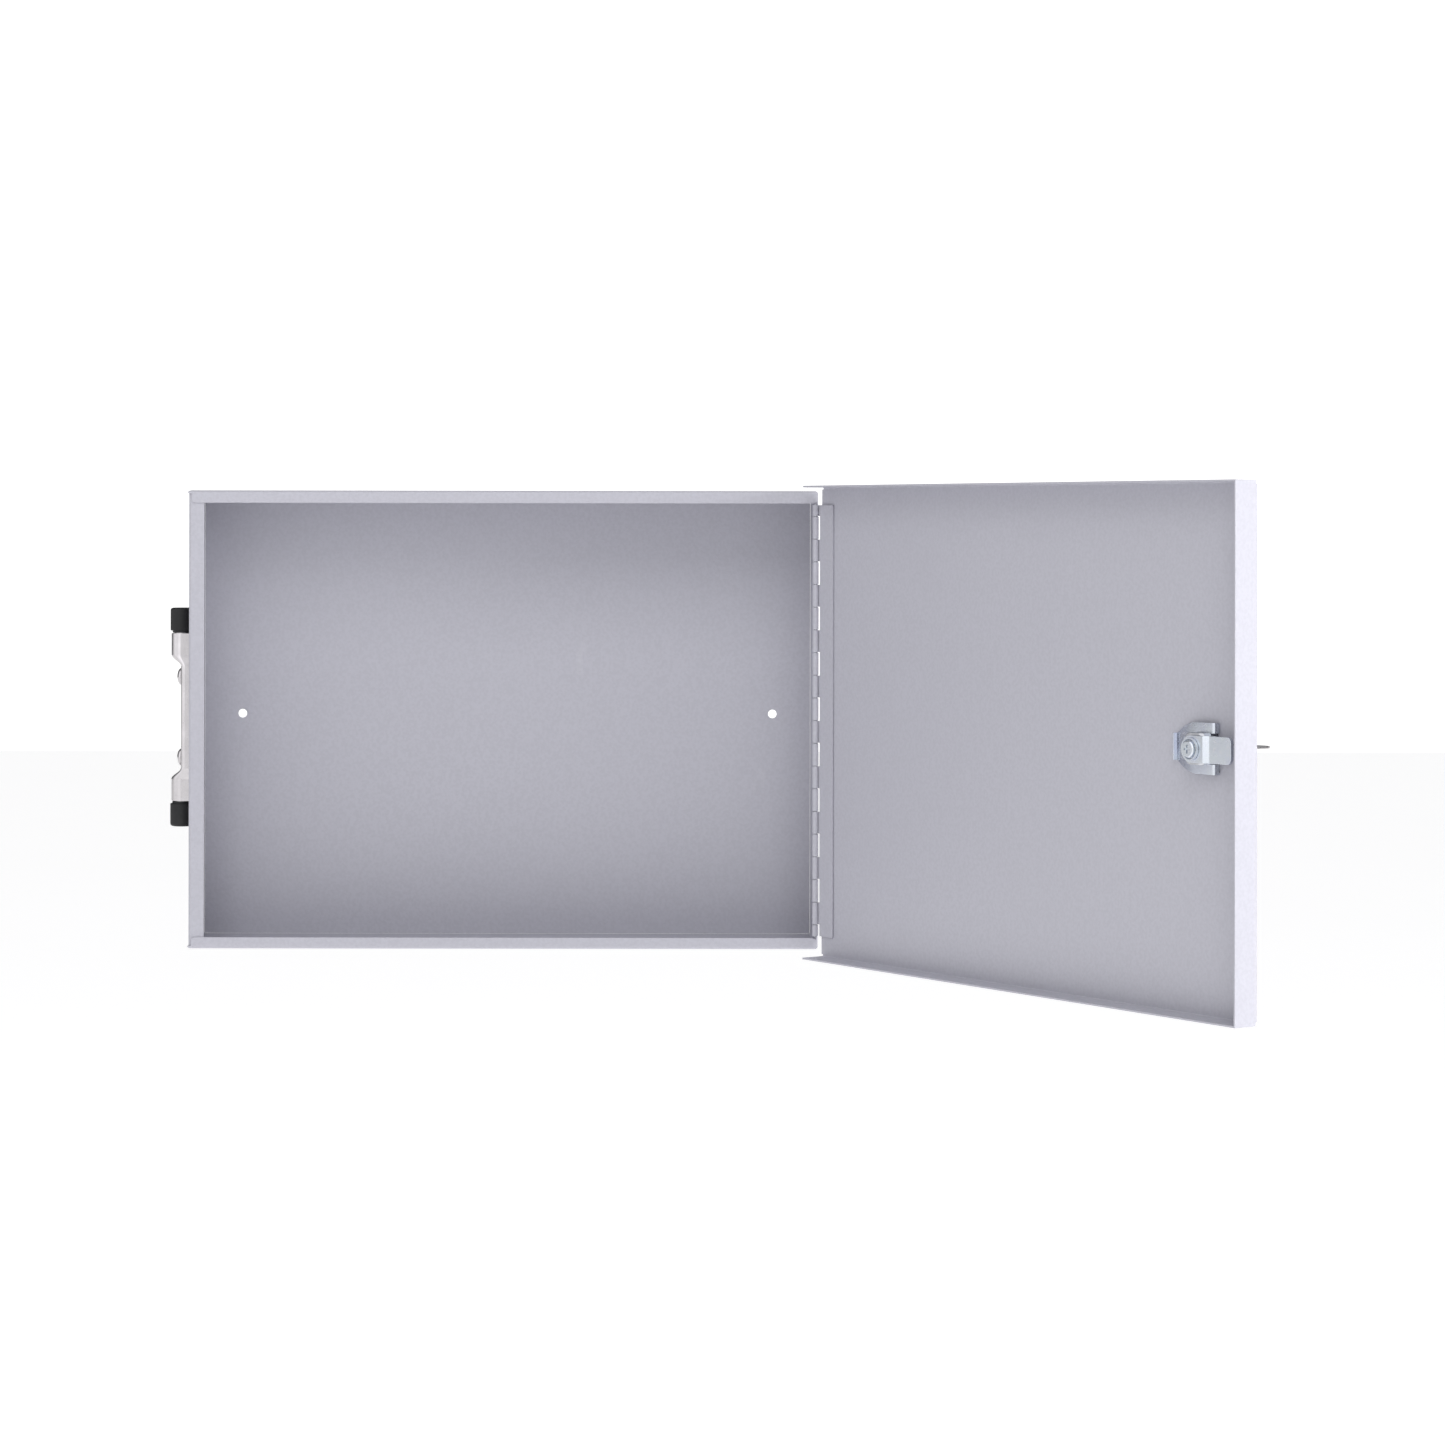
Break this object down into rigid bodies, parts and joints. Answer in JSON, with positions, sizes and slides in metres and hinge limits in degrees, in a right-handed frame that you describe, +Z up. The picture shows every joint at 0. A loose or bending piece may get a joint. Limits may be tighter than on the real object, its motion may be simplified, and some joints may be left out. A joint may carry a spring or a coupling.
{
  "type": "wall key cabinet",
  "caption": "Small wall-hung steel key cabinet with an overlapping door on a piano hinge, a cam lock with its key, and a folding side handle.",
  "frame": {"origin": "centre of the back panel's rear face, which lies against the wall", "axes": "+X to the right seen from the front, +Y into the wall, +Z up; the door is shown open"},
  "size_m": [0.5773, 0.3753, 0.264],
  "materials": {
    "painted_sheet": "fine hammertone grey enamel",
    "zinc_plate": "bright zinc plate",
    "chrome_plate": "polished",
    "brass": "machined",
    "spring_steel": "drawn wire",
    "nickel_plate": "nickel plate",
    "black_plastic": "moulded"
  },
  "bodies": {
    "cabinet": {"wall_ring": "painted_sheet", "back_panel": "painted_sheet", "hinge_body_leaf": "painted_sheet", "hinge_pin": "spring_steel", "handle_bracket": "nickel_plate", "handle_rivet_upper": "nickel_plate", "handle_rivet_lower": "nickel_plate"},
    "door": {"door_panel": "painted_sheet", "hinge_door_leaf": "painted_sheet", "lock_housing": "chrome_plate", "lock_clip": "zinc_plate"},
    "lock_core": {"lock_plug": "brass", "lock_cam": "zinc_plate", "cam_washer": "zinc_plate", "cam_screw": "zinc_plate", "wafer_spring_1": "spring_steel", "wafer_spring_2": "spring_steel", "wafer_spring_3": "spring_steel", "wafer_spring_4": "spring_steel"},
    "wafers": {"lock_wafer_1": "brass", "lock_wafer_2": "brass", "lock_wafer_3": "brass", "lock_wafer_4": "brass"},
    "key": {"key": "nickel_plate"},
    "handle": {"handle_grip": "black_plastic", "handle_pivot_upper": "nickel_plate", "handle_pivot_lower": "nickel_plate"}
  },
  "joints": [
    {"name": "door_hinge", "type": "hinge", "parent": "cabinet", "child": "door", "pos_m": [0.175, -0.0751, 0], "axis": [0, 0, 1], "range_deg": [-124, 56]},
    {"name": "lock_turn", "type": "hinge", "parent": "door", "child": "lock_core", "pos_m": [0.35361, -0.3399, 0], "axis": [-0.829, -0.5592, 0], "range_deg": [0, 90]},
    {"name": "key_slide", "type": "slide", "parent": "lock_core", "child": "key", "axis": [0.829, 0.5592, 0], "range_m": [0, 0.02]},
    {"name": "wafer_slide", "type": "slide", "parent": "lock_core", "child": "wafers", "axis": [-0.5592, 0.829, 0], "range_m": [0, 0.0005]},
    {"name": "handle_swing", "type": "hinge", "parent": "cabinet", "child": "handle", "pos_m": [-0.18345, -0.043, 0], "axis": [0, 0, 1], "range_deg": [0, 120]}
  ],
  "couplings": [
    {"joint": "wafer_slide", "follows": "key_slide", "ratio": 0.025}
  ]
}
